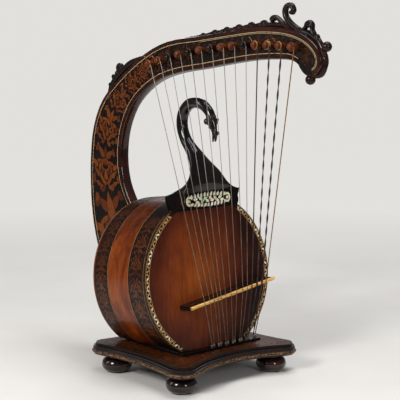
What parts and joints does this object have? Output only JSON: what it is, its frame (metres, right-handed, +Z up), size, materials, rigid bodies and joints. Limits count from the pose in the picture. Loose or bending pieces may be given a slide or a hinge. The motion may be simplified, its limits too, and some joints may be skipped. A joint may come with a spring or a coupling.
{
  "type": "bow harp",
  "caption": "Tabletop bow harp: round drum body on a footed serpentine plinth, curved inlaid neck with turning pegs, carved animal neck, strings over a slanted bridge",
  "frame": {"origin": "middle of the bounding box on the plane the bun feet stand on", "axes": "+Z up, strings and soundboard face -Y, bow neck in the plane X = 0"},
  "size_m": [0.264, 0.5651, 0.6003],
  "materials": {
    "plinth_board": "french polished",
    "plinth_moulding": "french polished",
    "plinth_top_panel": "french polished",
    "foot_front_left": "french polished",
    "foot_front_right": "french polished",
    "foot_back_left": "french polished",
    "foot_back_right": "french polished",
    "foot_dowels": "bare",
    "drum_seat": "french polished",
    "hitch_rail": "french polished",
    "hitch_pins": "plain",
    "rib_core": "french polished",
    "rib_band_front": "french polished",
    "rib_band_centre": "french polished",
    "rib_band_rear": "french polished",
    "soundboard": "french polished",
    "back_board": "french polished",
    "soundboard_purfling": "polished shell and bone inlay",
    "linings": "bare",
    "soundboard_braces": "bare",
    "heel_block": "bare",
    "bridge_bar": "french polished",
    "bridge_saddle": "polished boxwood",
    "figure_block": "french polished",
    "pearl_panel": "polished shell and bone inlay",
    "swan_neck": "french polished",
    "swan_head": "french polished",
    "bow_neck": "french polished",
    "neck_veneer_left": "french polished",
    "neck_veneer_right": "french polished",
    "crest_front": "french polished",
    "crest_rear": "french polished",
    "scroll_finial": "french polished",
    "ball_finials": "french polished",
    "neck_bolts": "plain",
    "strings_gut": "gut",
    "string_bass_1": "twisted gut",
    "string_bass_2": "twisted gut",
    "string_bass_3": "twisted gut",
    "string_bass_4": "twisted gut",
    "peg_01": "french polished",
    "peg_02": "french polished",
    "peg_03": "french polished",
    "peg_04": "french polished",
    "peg_05": "french polished",
    "peg_06": "french polished",
    "peg_07": "french polished",
    "peg_08": "french polished",
    "peg_09": "french polished",
    "peg_10": "french polished",
    "peg_11": "french polished",
    "peg_12": "french polished",
    "peg_13": "french polished",
    "peg_14": "french polished"
  },
  "bodies": {
    "frame": {"plinth_board": "plinth_board", "plinth_moulding": "plinth_moulding", "plinth_top_panel": "plinth_top_panel", "foot_front_left": "foot_front_left", "foot_front_right": "foot_front_right", "foot_back_left": "foot_back_left", "foot_back_right": "foot_back_right", "foot_dowels": "foot_dowels", "drum_seat": "drum_seat", "hitch_rail": "hitch_rail", "hitch_pins": "hitch_pins", "rib_core": "rib_core", "rib_band_front": "rib_band_front", "rib_band_centre": "rib_band_centre", "rib_band_rear": "rib_band_rear", "soundboard": "soundboard", "back_board": "back_board", "soundboard_purfling": "soundboard_purfling", "linings": "linings", "soundboard_braces": "soundboard_braces", "heel_block": "heel_block", "bridge_bar": "bridge_bar", "bridge_saddle": "bridge_saddle", "figure_block": "figure_block", "pearl_panel": "pearl_panel", "swan_neck": "swan_neck", "swan_head": "swan_head", "bow_neck": "bow_neck", "neck_veneer_left": "neck_veneer_left", "neck_veneer_right": "neck_veneer_right", "crest_front": "crest_front", "crest_rear": "crest_rear", "scroll_finial": "scroll_finial", "ball_finials": "ball_finials", "neck_bolts": "neck_bolts", "strings_gut": "strings_gut", "string_bass_1": "string_bass_1", "string_bass_2": "string_bass_2", "string_bass_3": "string_bass_3", "string_bass_4": "string_bass_4"},
    "peg_01": {"peg_01": "peg_01"},
    "peg_02": {"peg_02": "peg_02"},
    "peg_03": {"peg_03": "peg_03"},
    "peg_04": {"peg_04": "peg_04"},
    "peg_05": {"peg_05": "peg_05"},
    "peg_06": {"peg_06": "peg_06"},
    "peg_07": {"peg_07": "peg_07"},
    "peg_08": {"peg_08": "peg_08"},
    "peg_09": {"peg_09": "peg_09"},
    "peg_10": {"peg_10": "peg_10"},
    "peg_11": {"peg_11": "peg_11"},
    "peg_12": {"peg_12": "peg_12"},
    "peg_13": {"peg_13": "peg_13"},
    "peg_14": {"peg_14": "peg_14"}
  },
  "joints": [
    {"name": "peg_01_turn", "type": "hinge", "parent": "frame", "child": "peg_01", "pos_m": [0, 0.1055, 0.50195], "axis": [1, 0, 0], "continuous": true},
    {"name": "peg_02_turn", "type": "hinge", "parent": "frame", "child": "peg_02", "pos_m": [0, 0.0802, 0.50813], "axis": [1, 0, 0], "continuous": true},
    {"name": "peg_03_turn", "type": "hinge", "parent": "frame", "child": "peg_03", "pos_m": [0, 0.0549, 0.51371], "axis": [1, 0, 0], "continuous": true},
    {"name": "peg_04_turn", "type": "hinge", "parent": "frame", "child": "peg_04", "pos_m": [0, 0.0296, 0.51871], "axis": [1, 0, 0], "continuous": true},
    {"name": "peg_05_turn", "type": "hinge", "parent": "frame", "child": "peg_05", "pos_m": [0, 0.0043, 0.52312], "axis": [1, 0, 0], "continuous": true},
    {"name": "peg_06_turn", "type": "hinge", "parent": "frame", "child": "peg_06", "pos_m": [0, -0.021, 0.52694], "axis": [1, 0, 0], "continuous": true},
    {"name": "peg_07_turn", "type": "hinge", "parent": "frame", "child": "peg_07", "pos_m": [0, -0.0463, 0.53017], "axis": [1, 0, 0], "continuous": true},
    {"name": "peg_08_turn", "type": "hinge", "parent": "frame", "child": "peg_08", "pos_m": [0, -0.0716, 0.53282], "axis": [1, 0, 0], "continuous": true},
    {"name": "peg_09_turn", "type": "hinge", "parent": "frame", "child": "peg_09", "pos_m": [0, -0.0969, 0.53487], "axis": [1, 0, 0], "continuous": true},
    {"name": "peg_10_turn", "type": "hinge", "parent": "frame", "child": "peg_10", "pos_m": [0, -0.1222, 0.53634], "axis": [1, 0, 0], "continuous": true},
    {"name": "peg_11_turn", "type": "hinge", "parent": "frame", "child": "peg_11", "pos_m": [0, -0.1475, 0.53721], "axis": [1, 0, 0], "continuous": true},
    {"name": "peg_12_turn", "type": "hinge", "parent": "frame", "child": "peg_12", "pos_m": [0, -0.1728, 0.5375], "axis": [1, 0, 0], "continuous": true},
    {"name": "peg_13_turn", "type": "hinge", "parent": "frame", "child": "peg_13", "pos_m": [0, -0.1981, 0.5372], "axis": [1, 0, 0], "continuous": true},
    {"name": "peg_14_turn", "type": "hinge", "parent": "frame", "child": "peg_14", "pos_m": [0, -0.2234, 0.53631], "axis": [1, 0, 0], "continuous": true}
  ]
}
